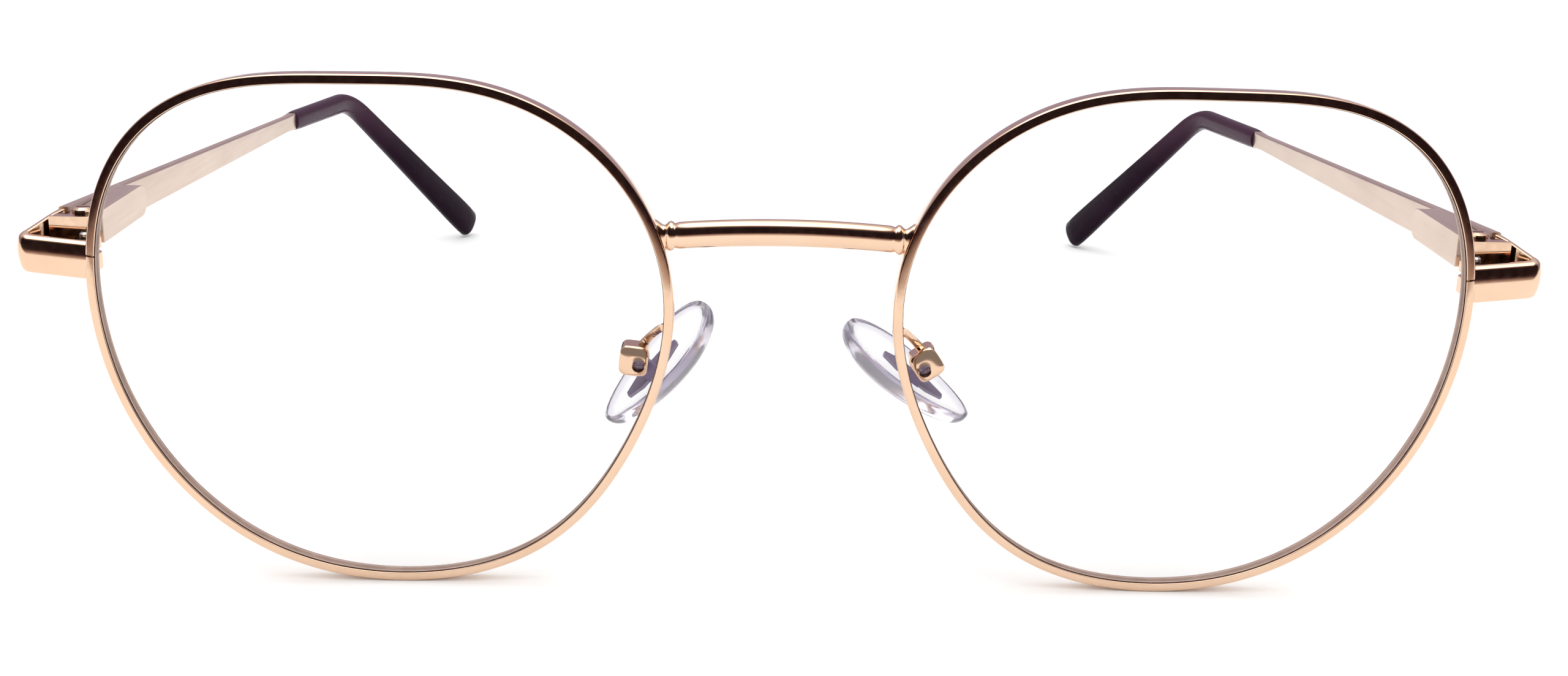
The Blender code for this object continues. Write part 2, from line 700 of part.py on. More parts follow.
def build_tip(label, side, carrier):
    """The plastic sleeve: a blind bore inside, and a body that widens towards its round end."""
    points, directions = sleeve_route()
    points[0] = points[0] + directions[0] * 0.12
    lengths = [0.0]
    for a, b in zip(points, points[1:]):
        lengths.append(lengths[-1] + (b - a).length)
    shares = [length / lengths[-1] for length in lengths]
    bore = rounded_section(SLEEVE_BORE, SLEEVE_BORE, 0.38)
    inside = int(CORE_END * len(points)) + 1
    rings = [section_ring(side, p, d, bore) for p, d in zip(points[:inside], directions[:inside])][::-1]
    marks, widths, heights = zip(*SLEEVE_SECTIONS)
    for point, direction, share in zip(points[:-1], directions, shares):
        half_u = float(np.interp(share, marks, widths))
        half_v = float(np.interp(share, marks, heights))
        outline = rounded_section(half_u, half_v, 0.8 * half_u)
        rings.append(section_ring(side, point, direction, outline))
    end, direction = points[-1], directions[-1]
    half_u, half_v = widths[-1], heights[-1]
    for step, scale in ((-0.6, 0.92), (0.1, 0.75), (0.5, 0.4)):
        outline = rounded_section(half_u * scale, half_v * scale, 0.8 * half_u * scale)
        rings.append(section_ring(side, end + direction * step, direction, outline))
    finish(loft(f"{label}_temple_tip", rings), "dark_plastic", carrier)


# ---------------------------------------------------------------- nose pads

def pad_axes(label, side):
    """The pad's width direction, its long direction and the direction its skin side faces."""
    lean = math.radians(PAD_LEAN[label])
    splay = math.radians(PAD_SPLAY[label])
    long_way = Vector((side * math.sin(lean), 0, -math.cos(lean)))
    noseward = Vector((-side * math.cos(lean), 0, -math.sin(lean)))
    back = Vector((0, 1, 0))
    skin = noseward * math.cos(splay) + back * math.sin(splay)
    width = back * math.cos(splay) - noseward * math.sin(splay)
    return width, long_way, skin, noseward


def pad_frame(label, side):
    width, long_way, skin, noseward = pad_axes(label, side)
    x, _, z = PAD_PIVOT
    centre = Vector((side * x, PAD_CENTRE_Y, z)) + noseward * PAD_REACH
    matrix = Matrix((width, long_way, skin)).transposed().to_4x4()
    return Matrix.Translation(world(*centre)) @ matrix


def pad_outline(scale):
    """A long oval, a little narrower towards its lower end, as (width, length) pairs."""
    outline = []
    for i in range(PAD_STEPS):
        angle = 2 * math.pi * i / PAD_STEPS
        v = PAD_HALF_LENGTH * math.sin(angle)
        u = PAD_HALF_WIDTH * (1 - PAD_TAPER * math.sin(angle)) * math.cos(angle)
        outline.append((u * scale, v * scale - PAD_SHIFT))
    return outline


def build_nose_pad(label, side, carrier):
    frame = pad_frame(label, side)
    # (scale of the outline, height from the mid plane of the insert)
    layers = ((0.8, PAD_FACE), (0.95, PAD_FACE + 0.05), (1.0, PAD_FACE + 0.35), (0.98, PAD_FACE + 0.75))
    layers += ((0.9, PAD_SKIN - 0.75), (0.7, PAD_SKIN - 0.3), (0.4, PAD_SKIN - 0.05), (0.15, PAD_SKIN))
    rings = []
    for scale, height in layers:
        rings.append([frame @ (Vector((u, v, height)) * MM) for u, v in pad_outline(scale)])
    pad = loft(f"{label}_nose_pad", rings)
    top = INSERT_HALF_THICKNESS + POCKET_CLEAR
    pocket = plate("pocket", [hexagon(POCKET_CLEAR)], PAD_FACE - 1, top, frame)
    boolean(pad, pocket, "DIFFERENCE")
    finish(boolean(pad, lug_bar(label, side, POCKET_CLEAR), "DIFFERENCE"), "silicone", carrier)


def hexagon(extra):
    """The insert's outline: a long hexagon with blunt points."""
    u = INSERT_HALF_WIDTH + extra
    v = INSERT_HALF_LENGTH + extra
    upper = [(u, 0.5 * v), (0.35 * u, v), (-0.35 * u, v), (-u, 0.5 * v)]
    return upper + [(-x, -y) for x, y in upper]


def front_frame(label, side, turn):
    """The frame at the pivot screw whose normal faces the front: u is noseward, v is up, turned."""
    x, y, z = PAD_PIVOT
    angle = math.radians(turn)
    noseward = Vector((-side * math.cos(angle), 0, -math.sin(angle)))
    upward = Vector((-side * math.sin(angle), 0, math.cos(angle)))
    front = Vector((0, -1, 0))
    return Matrix.Translation(world(side * x, y, z)) @ Matrix((noseward, upward, front)).transposed().to_4x4()


def lug_bar(label, side, extra):
    """The bar from the pivot screw to the insert, grown all round by extra."""
    half = LUG_RADIUS + extra
    outline = arc((0, 0), half, 90, 270, 10) + [(LUG_END + extra, -half), (LUG_END + extra, half)]
    thick = LUG_HALF + extra
    return plate("lug", [outline], -thick, thick, front_frame(label, side, PAD_LEAN[label]))


def build_pad_insert(label, side, carrier):
    """The stiff plate inside the pad, and the lug that the pivot screw holds."""
    thick = INSERT_HALF_THICKNESS
    insert = plate(f"{label}_pad_insert", [hexagon(0)], -thick, thick, pad_frame(label, side))
    boolean(insert, lug_bar(label, side, 0), "UNION")
    hole = circle((0, 0), PAD_SCREW_RADIUS + PIN_CLEAR, 16)
    bore = plate("bore", [hole], -1, 1, front_frame(label, side, PAD_LEAN[label]))
    finish(boolean(insert, bore, "DIFFERENCE"), "insert_plastic", carrier)


def build_pad_arm(label, side):
    """The wire from the rim's back to the box cup that holds the pad's lug."""
    frame = front_frame(label, side, CUP_TURN[label])
    x, y, z = CUP_CENTRE[label]
    centre = frame.inverted() @ world(side * x, y, z) / MM
    half_u, half_y, half_v = CUP_HALF
    outline = [(centre.x + u, centre.y + v) for u, v in rounded_section(half_u, half_v, CUP_CORNER, 4)]
    arm = plate(f"{label}_pad_arm", [outline], centre.z - half_y, centre.z + half_y, frame)
    bevelled(arm, 0.22, 1)
    wall = LUG_RADIUS + CUP_SLOT_CLEAR
    opening = [(-wall, -9), (9, -9), (9, wall), (-wall, wall)]
    boolean(arm, plate("slot", [opening], -CUP_SLOT_HALF, CUP_SLOT_HALF, frame), "DIFFERENCE")
    route = smooth_route([world(side * x, y, z) for x, y, z in ARM_ROUTE], 4)
    boolean(arm, tube("wire", route, ARM_RADIUS, 2), "UNION")
    hole = circle((0, 0), PAD_SCREW_RADIUS + PIN_CLEAR, 16)
    boolean(arm, plate("hole", [hole], -3, 3, frame), "DIFFERENCE")
    seat = circle((0, 0), PAD_HEAD_RADIUS + PIN_CLEAR, 16)
    finish(boolean(arm, plate("seat", [seat], PAD_HEAD_SEAT, 3, frame), "DIFFERENCE"), "gold")


def build_pad_screw(label, side):
    """The pivot screw, sunk in the cup's front."""
    frame = front_frame(label, side, CUP_TURN[label])
    under = PAD_HEAD_SEAT + 0.03
    top = under + 0.12
    shank, head = PAD_SCREW_RADIUS, PAD_HEAD_RADIUS
    profile = ((0, top), (head - 0.08, top), (head, top - 0.06), (head, under))
    profile += ((shank, under), (shank, PAD_SCREW_BACK), (0, PAD_SCREW_BACK))
    screw = turned(f"{label}_pad_screw", profile, frame)
    line = [(-1, -0.09), (1, -0.09), (1, 0.09), (-1, 0.09)]
    groove = plate("groove", [line], top - 0.06, top + 1, frame)
    finish(boolean(screw, groove, "DIFFERENCE"), "steel")


# ---------------------------------------------------------------- assembly

def build_side(label, side):
    build_rim(label, side)
    build_lens(label, side)
    build_endpiece(label, side)
    build_lock(label, side)
    build_front_hinge(label, side)
    build_hinge_screw(label, side)
    fold = new_empty(f"{label}_fold_axis", world(side * PIN[0], PIN[1], HINGE_BOTTOM))
    build_slider(label, side, fold)
    build_spring(label, side, fold)
    build_housing(label, side, fold)
    build_temple(label, side, fold)
    build_tip(label, side, fold)
    build_pad_arm(label, side)
    build_pad_screw(label, side)
    rock = new_empty(f"{label}_pad_axis", world(side * PAD_PIVOT[0], PAD_PIVOT[1], PAD_PIVOT[2]))
    build_pad_insert(label, side, rock)
    build_nose_pad(label, side, rock)


clear_scene()
PARTS = new_collection(COLLECTION)
MATERIALS = {name: make_material(name) for name in COLOURS}
build_bridge()
for side_label, side_sign in SIDES.items():
    build_side(side_label, side_sign)
bpy.context.view_layer.update()
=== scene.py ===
"""Looks of the metal eyeglasses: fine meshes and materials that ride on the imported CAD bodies.

Lengths in the constants and in the shape functions are millimetres, counted X from the middle of
the bridge, Y from the front of the lenses' middles and Z from the lenses' height. world() turns
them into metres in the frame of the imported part, whose wearer's left is +X. The stage's own
lengths are metres in that frame.
"""

import math

import bmesh
import bpy
import numpy as np
from mathutils import Matrix, Vector

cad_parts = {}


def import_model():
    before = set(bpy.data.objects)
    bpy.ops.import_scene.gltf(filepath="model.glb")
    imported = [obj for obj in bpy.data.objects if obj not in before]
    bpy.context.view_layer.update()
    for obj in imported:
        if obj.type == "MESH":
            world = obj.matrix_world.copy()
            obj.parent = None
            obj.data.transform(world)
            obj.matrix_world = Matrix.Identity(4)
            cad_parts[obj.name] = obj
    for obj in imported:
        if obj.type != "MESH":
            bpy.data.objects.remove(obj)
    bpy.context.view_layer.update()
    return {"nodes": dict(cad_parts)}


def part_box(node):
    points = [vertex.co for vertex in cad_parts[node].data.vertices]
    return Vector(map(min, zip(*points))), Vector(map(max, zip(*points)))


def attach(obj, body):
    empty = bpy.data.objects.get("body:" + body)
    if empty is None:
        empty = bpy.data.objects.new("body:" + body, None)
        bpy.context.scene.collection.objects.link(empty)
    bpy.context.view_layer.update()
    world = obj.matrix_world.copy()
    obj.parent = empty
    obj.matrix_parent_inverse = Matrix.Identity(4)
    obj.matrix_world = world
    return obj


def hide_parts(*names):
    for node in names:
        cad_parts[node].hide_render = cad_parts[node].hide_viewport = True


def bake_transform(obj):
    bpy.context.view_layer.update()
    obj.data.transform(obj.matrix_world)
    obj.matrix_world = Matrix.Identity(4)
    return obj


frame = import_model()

MM = 0.001
SIDES = {"left": 1, "right": -1}

LENS_X = 36.35
LENS_HEIGHT = 23.85
FRONT_TO_MIDDLE = 69.9

# Eye shape: radius at equal angles, from the temple side round over the top
EYE_RADII = (
    25.5, 27.4, 27.7, 25.0, 23.4, 24.5, 25.9, 26.5,
    25.8, 24.6, 24.5, 24.1, 23.4, 23.4, 23.6, 24.2,
)
BASE_CURVE = 113.0
SPLIT_ANGLE = 15.0
SPLIT_GAP = 0.16
RIM_STEPS = 240
RIM_THICKNESS = 0.86
RIM_DEPTH = 1.78
RIM_FRONT_ROUND = 0.2
RIM_ROUND = 0.07
GROOVE_HALF = 0.42
GROOVE_DEPTH = 0.36

LENS_STEPS = 144
LENS_THICKNESS = 1.24
LENS_SEAT = 0.06
# Rings on each face of the lens, as shares of its radius
LENS_SHARES = (0.04, 0.12, 0.22, 0.34, 0.46, 0.58, 0.7, 0.8, 0.9, 0.97, 1.0)
BEVEL_HALF = 0.32
BEVEL_CLEARANCE = 0.08

BRIDGE_END_HEIGHT = 9.5
BRIDGE_END_ANGLE = 158.0
BRIDGE_STEPS = 12
BRIDGE_POWER = 2.35
BRIDGE_RISE = 0.85
BRIDGE_BOW = 1.3
BRIDGE_HALF_HEIGHT = 1.22
BRIDGE_HALF_DEPTH = 1.0
BRAZE_GAP = 0.05
# Foot, neck and bead at each end of the bridge: distance from the rim, half height, half depth
BRIDGE_FOOT = (
    (0.0, 1.6, 0.82), (0.08, 1.48, 0.8), (0.19, 1.24, 0.78), (0.3, 1.06, 0.77),
    (0.38, 1.04, 0.78), (0.48, 1.16, 0.88), (0.6, 1.29, 0.98), (0.82, 1.37, 1.03),
    (1.04, 1.29, 0.99), (1.16, 1.16, 0.92), (1.24, 1.12, 0.9), (1.36, 1.17, 0.94),
    (1.65, 1.22, 1.0),
)
# How far each of its outermost rings leans to follow the rim
BRIDGE_LEANS = (1.0, 0.85, 0.6, 0.35, 0.2)

ENDPIECE_START = (62.3, 2.32)
ENDPIECE_CORNER = (70.05, 2.95)
ENDPIECE_BUTT = (67.2, 7.6)
ENDPIECE_BUTT_WIDTH = 1.2
ENDPIECE_RADIUS = 1.3
ENDPIECE_THICKNESS = 1.1
ENDPIECE_TOPS = (8.15, 8.55, 8.8, 10.0)
ENDPIECE_BOTTOMS = (4.65, 5.1, 5.35, 6.1)
ENDPIECE_CROWN = 0.3
ENDPIECE_ROUND = 0.22
ENDPIECE_TOP_ROUND = 0.48
ENDPIECE_INNER_ROUND = 0.12
ENDPIECE_STRAIGHT_STEPS = 6
ENDPIECE_TURN_STEPS = 16
ENDPIECE_FACE_STEPS = 8

BLADE_START = (66.2, 7.98, 8.2)
BLADE_END = (65.8, 89.9, 3.55)
EAR_BEND = (63.05, 112.2, 2.7)
TIP_END = (50.0, 139.6, -22.2)
EAR_RADIUS = 11.0
BLADE_THICKNESS = 1.05
BLADE_HEIGHTS = (3.95, 2.0)
BLADE_ROUND = 0.26
BLADE_STEPS = 48
# The blade's last part widens by the flare on each side, where the tip is pushed on
BLADE_FLARE = 0.12
BLADE_FLARE_PART = 0.04
# Share of the length, half width and half height
SLEEVE_SECTIONS = (
    (0.0, 1.02, 1.22), (0.02, 1.1, 1.3), (0.35, 1.12, 1.4), (0.6, 1.15, 1.75), (0.92, 1.15, 2.3),
)
SLEEVE_POWER = 2.4
SLEEVE_GAP = 0.05
# Rings of the sleeve's mouth: scale and place along the sleeve
MOUTH_RINGS = ((0.72, 0.0), (0.9, -0.02))
MOUTH_POWER = 2.6
# The sleeve's round end: how long it is, how far back it starts, and its rings in degrees
END_LENGTH = 1.6
END_BACK = 1.0
END_TURNS = (15, 30, 45, 58, 70, 80, 87)

SPRING_TURNS = 5
SPRING_TURN_STEPS = 24
SPRING_WIRE = 0.14
SPRING_WIRE_STEPS = 10

PAD_PIVOT = (13.4, 7.2, -3.6)
PAD_LEAN = {"left": 53.0, "right": 40.0}
PAD_SPLAY = {"left": 13.0, "right": 20.0}
PAD_REACH = 1.8
PAD_SHIFT = 0.75
PAD_CENTRE_Y = 8.3
PAD_STEPS = 72
PAD_HALF_LENGTH = 7.4
PAD_HALF_WIDTH = 3.85
PAD_TAPER = 0.2
# Layers of the pad from its inner face to its skin: scale of the outline, height
PAD_LAYERS = (
    (0.35, -0.42), (0.7, -0.44), (0.84, -0.52), (0.9, -0.66), (0.95, -0.7),
    (0.99, -0.6), (1.0, -0.35), (1.0, 0.0), (0.985, 0.35), (0.95, 0.7),
    (0.89, 1.0), (0.8, 1.25), (0.68, 1.42), (0.5, 1.54), (0.25, 1.6),
)
# The outer share of the pad's outline that takes painted grey-blue shade, where its edge bends
# light
PAD_EDGE_SHADE_SHARE = 0.14

CUP_CENTRE = {"left": (13.6, 7.15, -3.1), "right": (13.85, 7.15, -3.2)}
CUP_HALF = (1.35, 1.05, 1.42)
CUP_TURN = {"left": 34.0, "right": 6.0}
CUP_HOLE = 0.6
CUP_PILLOW = 0.42
CUP_SINK = 0.3
CUP_STEPS = 12
CUP_RING_STEPS = 40
# Oval powers of the cup's outline and of its pillow, which starts round at the hole
CUP_POWER = 3.6
CUP_POWER_GAIN = 1.6
# How far the pillow stands proud of the cup's front, its sides, and the sides at its back ring
CUP_FRONT_PROUD = 0.04
CUP_SIDE_PROUD = 0.03
CUP_BACK_PROUD = 0.02

# The part of a noise texture's range where most of its values lie
NOISE_LOW = 0.3
NOISE_HIGH = 0.7
# The tip is painted lighter from its low end to this height in metres, as painted light on the
# higher part towards the ear bend, and noise clouds it
TIP_PAINTED_LIGHT_HEIGHTS = (0.016, 0.027)
TIP_PAINTED_LIGHT_RISE = 0.67
TIP_TONE_CLOUD = 0.33
PAD_CLOUD = 0.25

# Camera: place in millimetres, then turn to the right, downward tilt and roll in radians
CAMERA_PLACE = (-2.7007, -157.8045, 48.5441)
CAMERA_TURNS = (0.017394, 0.29193, 0.022022)
CAMERA_LENS = 42.188
CAMERA_SENSOR = 36.0

# Stage, in metres. The floor is a sheet: its near and far edge, half its width, and its drop,
# which keeps it clear of the part's lowest points
FLOOR_NEAR = -0.21
FLOOR_FAR = 1.2
FLOOR_HALF = 1.1
FLOOR_DROP = 0.00002
LAMP_PLACE = (-0.1, -0.1, 0.75)
LAMP_SIZE = (0.9, 0.5)
LAMP_WATTS = 1.8
EVEN_STRENGTH = 1.12
# Sine of the side angle over which the mirrored light in front turns into the one behind
TURN_HALF = 0.25
# Share of the even light that bent rays keep
BENT_EVEN_SHARE = 0.25
# Light that mirror rays meet, by the sine of its elevation: in front of the glasses, and behind
FRONT_LIGHT = (
    (-1.0, (1.1, 1.1, 1.1)), (-0.24, (1.05, 1.0, 0.95)), (-0.13, (0.42, 0.3, 0.27)),
    (-0.06, (0.05, 0.02, 0.024)), (0.0, (0.016, 0.006, 0.008)), (0.5, (0.012, 0.006, 0.008)),
    (0.68, (0.07, 0.045, 0.05)), (0.78, (0.5, 0.42, 0.4)), (0.86, (2.6, 2.5, 2.4)),
    (0.97, (2.6, 2.5, 2.4)), (0.985, (0.9, 0.86, 0.86)),
)
BACK_LIGHT = (
    (-1.0, (1.1, 1.1, 1.1)), (-0.1, (1.0, 1.0, 1.0)), (0.05, (0.42, 0.34, 0.42)),
    (0.32, (0.42, 0.34, 0.43)), (0.5, (0.62, 0.57, 0.66)), (0.84, (0.95, 0.9, 0.96)),
    (0.93, (2.4, 2.3, 2.2)), (0.97, (2.6, 2.5, 2.4)), (0.985, (0.9, 0.86, 0.86)),
)


# ---------------------------------------------------------------- places and shapes

def world(x, y, z):
    return Vector((x, y - FRONT_TO_MIDDLE, z + LENS_HEIGHT)) * MM


def new_object(name, bm, smooth_angle=40):
    bmesh.ops.recalc_face_normals(bm, faces=bm.faces)
    mesh = bpy.data.meshes.new(name)
    bm.to_mesh(mesh)
    bm.free()
    mesh.shade_smooth()
    mesh.set_sharp_from_angle(angle=math.radians(smooth_angle))
    obj = bpy.data.objects.new(name, mesh)
    bpy.context.scene.collection.objects.link(obj)
    return obj


def loft(name, rings, smooth_angle=40, looped=False):
    """A closed skin over rings of points. Its ends are filled, or joined if it is looped."""
    bm = bmesh.new()
    rows = [[bm.verts.new(point) for point in ring] for ring in rings]
    count = len(rows[0])
    if looped:
        rows.append(rows[0])
    for row, following in zip(rows, rows[1:]):
        for i in range(count):
            j = (i + 1) % count
            bm.faces.new((row[i], row[j], following[j], following[i]))
    if not looped:
        bm.faces.new(rows[0])
        bm.faces.new(rows[-1])
    return new_object(name, bm, smooth_angle)


def arc(centre, radius, start, end, steps):
    angles = [math.radians(start + (end - start) * i / steps) for i in range(steps + 1)]
    return [(centre[0] + radius * math.cos(t), centre[1] + radius * math.sin(t)) for t in angles]


def rounded_box(low, high, radii, steps=5):
    """A rectangle whose four corners, counted from the lower left one, have their own radii."""
    (u0, v0), (u1, v1) = low, high
    corners = ((u0, v0, 1, 1, 180), (u1, v0, -1, 1, 270), (u1, v1, -1, -1, 0), (u0, v1, 1, -1, 90))
    ring = []
    for (u, v, du, dv, start), radius in zip(corners, radii):
        ring += arc((u + du * radius, v + dv * radius), radius, start, start + 90, steps)
    return ring


def oval(half_u, half_v, power=2.0, steps=32):
    """An oval that nears a rectangle as the power grows."""
    ring = []
    for i in range(steps):
        angle = 2 * math.pi * i / steps
        c, s = math.cos(angle), math.sin(angle)
        u = math.copysign(abs(c) ** (2 / power), c)
        v = math.copysign(abs(s) ** (2 / power), s)
        ring.append((half_u * u, half_v * v))
    return ring


# ---------------------------------------------------------------- eye shape

def eye_radius(angle):
    """The smooth closed curve through EYE_RADII."""
    spectrum = np.fft.rfft(EYE_RADII) / len(EYE_RADII)
    weights = np.full(len(spectrum), 2.0)
    weights[0] = weights[-1] = 1.0
    orders = np.arange(len(spectrum))
    return float(np.sum(weights * np.real(spectrum * np.exp(1j * orders * angle))))


def eye_point(angle):
    radius = eye_radius(angle)
    return Vector((radius * math.cos(angle), 0, radius * math.sin(angle)))


def eye_normal(angle):
    step = 0.01
    along = (eye_point(angle + step) - eye_point(angle - step)).normalized()
    return Vector((along.z, 0, -along.x))


def around_eye(side, angle, offset, depth, scale=1.0):
    """A point beside the rim's middle line. Its depth follows the lens's curve."""
    point = (eye_point(angle) + eye_normal(angle) * offset) * scale
    depth += point.length_squared / (2 * BASE_CURVE)
    return world(side * (LENS_X + point.x), depth, point.z)


def rim_section():
    """(offset outward, depth) round the eyewire: a bar with a groove for the lens inside."""
    half, deep = RIM_THICKNESS / 2, RIM_DEPTH / 2
    ring = []
    ring += arc((half - RIM_FRONT_ROUND, RIM_FRONT_ROUND - deep), RIM_FRONT_ROUND, 270, 360, 8)
    ring += arc((half - RIM_ROUND, deep - RIM_ROUND), RIM_ROUND, 0, 90, 4)
    ring += arc((RIM_ROUND - half, deep - RIM_ROUND), RIM_ROUND, 90, 180, 4)
    ring += [(-half, GROOVE_HALF), (GROOVE_DEPTH - half, 0.0), (-half, -GROOVE_HALF)]
    ring += arc((RIM_ROUND - half, RIM_ROUND - deep), RIM_ROUND, 180, 270, 4)
    return ring


def make_rim(label, side):
    split = math.radians(SPLIT_ANGLE)
    gap = SPLIT_GAP / 2 / eye_radius(split)
    section = rim_section()
    rings = []
    for i in range(RIM_STEPS + 1):
        angle = split + gap + (2 * math.pi - 2 * gap) * i / RIM_STEPS
        rings.append([around_eye(side, angle, offset, depth) for offset, depth in section])
    dress(loft(f"{label}_rim_visual", rings, 50), "gold", "front", f"{label}_rim")


def make_lens(label, side):
    half = LENS_THICKNESS / 2
    seat = -RIM_THICKNESS / 2 - LENS_SEAT
    apex = GROOVE_DEPTH - RIM_THICKNESS / 2 - BEVEL_CLEARANCE
    rows = [(seat, -half, share) for share in LENS_SHARES]
    rows += [(seat, -BEVEL_HALF, 1.0), (apex, 0.0, 1.0), (seat, BEVEL_HALF, 1.0)]
    rows += [(seat, half, share) for share in reversed(LENS_SHARES)]
    angles = [2 * math.pi * i / LENS_STEPS for i in range(LENS_STEPS)]
    rings = []
    for offset, depth, scale in rows:
        rings.append([around_eye(side, angle, offset, depth, scale) for angle in angles])
    lens = loft(f"{label}_lens_visual", rings)
    dress(lens, "lens", "front", f"{label}_lens")
    # The four bands of faces between the last ring in front and the first one behind are its edge
    # That edge takes a painted reflection of the plating around it
    lens.data.materials.append(PAINTS["ground_edge"])
    first = (len(LENS_SHARES) - 1) * LENS_STEPS
    for face in lens.data.polygons[first:first + 4 * LENS_STEPS]:
        face.material_index = 1


def make_bridge():
    end_radius = eye_radius(math.radians(BRIDGE_END_ANGLE))
    end_angle = math.pi - math.asin(BRIDGE_END_HEIGHT / end_radius)
    normal = eye_normal(end_angle)
    clearance = (RIM_THICKNESS / 2 + BRAZE_GAP) / abs(normal.x)
    outer = LENS_X + eye_point(end_angle).x - clearance
    end_depth = eye_point(end_angle).length_squared / (2 * BASE_CURVE)
    stations = [(outer - gap, height, depth) for gap, height, depth in BRIDGE_FOOT]
    inner = stations[-1][0]
    for i in range(1, BRIDGE_STEPS):
        stations.append((inner * (1 - i / BRIDGE_STEPS), BRIDGE_HALF_HEIGHT, BRIDGE_HALF_DEPTH))
    middle = [(0.0, BRIDGE_HALF_HEIGHT, BRIDGE_HALF_DEPTH)]
    stations = stations + middle + [(-x, height, depth) for x, height, depth in reversed(stations)]
    rings = []
    for x, half_height, half_depth in stations:
        arch = 1 - (x / outer) ** 2
        y = end_depth - BRIDGE_BOW * arch
        z = BRIDGE_END_HEIGHT + BRIDGE_RISE * arch
        section = oval(half_depth, half_height, BRIDGE_POWER)
        rings.append([world(x, y + u, z + v) for u, v in section])
    lean = normal.z / abs(normal.x)
    middle_height = world(0, 0, BRIDGE_END_HEIGHT).z
    for row, fade in enumerate(BRIDGE_LEANS):
        for ring, sign in ((rings[row], 1), (rings[-1 - row], -1)):
            for point in ring:
                point.x += sign * lean * fade * (point.z - middle_height)
    dress(loft("bridge_visual", rings), "gold", "front", "bridge")


# ---------------------------------------------------------------- endpiece and temple

def endpiece_stations():
    """Outer and inner plan points, with the upper and lower edge's height, along the endpiece."""
    start, corner, butt = (Vector(p) for p in (ENDPIECE_START, ENDPIECE_CORNER, ENDPIECE_BUTT))
    first = (corner - start).normalized()
    second = (butt - corner).normalized()
    turn = first.angle(second)
    tangent = ENDPIECE_RADIUS * math.tan(turn / 2)
    centre = corner - first * tangent + Vector((-first.y, first.x)) * ENDPIECE_RADIUS
    from_angle = math.degrees(math.atan2(-first.x, first.y))
    to_angle = from_angle + math.degrees(turn)
    straight = corner - first * tangent
    steps = ENDPIECE_STRAIGHT_STEPS
    points = [start.lerp(straight, i / steps) for i in range(steps)]
    inwards = [Vector((-first.y, first.x))] * steps
    for place in arc(centre, ENDPIECE_RADIUS, from_angle, to_angle, ENDPIECE_TURN_STEPS):
        points.append(Vector(place))
        inwards.append((centre - Vector(place)).normalized())
    for share in (0.3, 0.6, 0.8):
        points.append((corner + second * tangent).lerp(butt, share))
        inwards.append(Vector((-second.y, second.x)))
    stations = [(p, p + inward * ENDPIECE_THICKNESS) for p, inward in zip(points, inwards)]
    stations.append((butt, butt - Vector((ENDPIECE_BUTT_WIDTH, 0))))
    along = [0.0]
    for (a, _), (b, _) in zip(stations, stations[1:]):
        along.append(along[-1] + (b - a).length)
    marks = (0.0, along[steps], along[steps + ENDPIECE_TURN_STEPS], along[-1])
    tops = np.interp(along, marks, ENDPIECE_TOPS)
    bottoms = np.interp(along, marks, ENDPIECE_BOTTOMS)
    outers, inners = zip(*stations)
    return list(zip(outers, inners, tops, bottoms))


def make_endpiece(label, side):
    rings = []
    for outer, inner, top, bottom in endpiece_stations():
        reach = (inner - outer).length
        across = (inner - outer) / reach
        middle, half = (top + bottom) / 2, (top - bottom) / 2
        radii = (ENDPIECE_ROUND, ENDPIECE_INNER_ROUND, ENDPIECE_INNER_ROUND, ENDPIECE_TOP_ROUND)
        ring = []
        for depth, height in rounded_box((0, bottom), (reach, top), radii):
            share = (height - middle) / half
            if depth < reach / 2:
                depth += ENDPIECE_CROWN * share * share
            point = outer + across * depth
            ring.append(world(side * point.x, point.y, height))
        # Points along the outer face carry its crown
        face = []
        low, high = bottom + ENDPIECE_ROUND, top - ENDPIECE_TOP_ROUND
        for i in range(1, ENDPIECE_FACE_STEPS):
            height = high + (low - high) * i / ENDPIECE_FACE_STEPS
            share = (height - middle) / half
            point = outer + across * ENDPIECE_CROWN * share * share
            face.append(world(side * point.x, point.y, height))
        rings.append(ring + face)
    dress(loft(f"{label}_endpiece_visual", rings, 50), "gold", "front", f"{label}_endpiece")


def section_ring(side, centre, direction, outline):
    """A ring across the temple: u is outward, v is up."""
    outward = direction.cross(Vector((0, 0, 1))).normalized()
    upward = outward.cross(direction).normalized()
    ring = []
    for u, v in outline:
        point = centre + outward * u + upward * v
        ring.append(world(side * point.x, point.y, point.z))
    return ring


def make_temple(label, side):
    start, end = Vector(BLADE_START), Vector(BLADE_END)
    along = (end - start).normalized()
    rings = []
    for i in range(BLADE_STEPS + 1):
        share = i / BLADE_STEPS
        height = BLADE_HEIGHTS[0] + (BLADE_HEIGHTS[1] - BLADE_HEIGHTS[0]) * share
        flare = BLADE_FLARE * max(0.0, (share - 1 + BLADE_FLARE_PART) / BLADE_FLARE_PART)
        half_u = BLADE_THICKNESS / 2 + flare
        half_v = height / 2 + flare
        box = rounded_box((-half_u, -half_v), (half_u, half_v), (BLADE_ROUND,) * 4, 4)
        face = Vector((0, 1, 0)) if i == 0 else along
        rings.append(section_ring(side, start.lerp(end, share), face, box))
    blade = loft(f"{label}_temple_visual", rings, 60)
    dress(blade, "satin_gold", f"{label}_arm", f"{label}_temple")


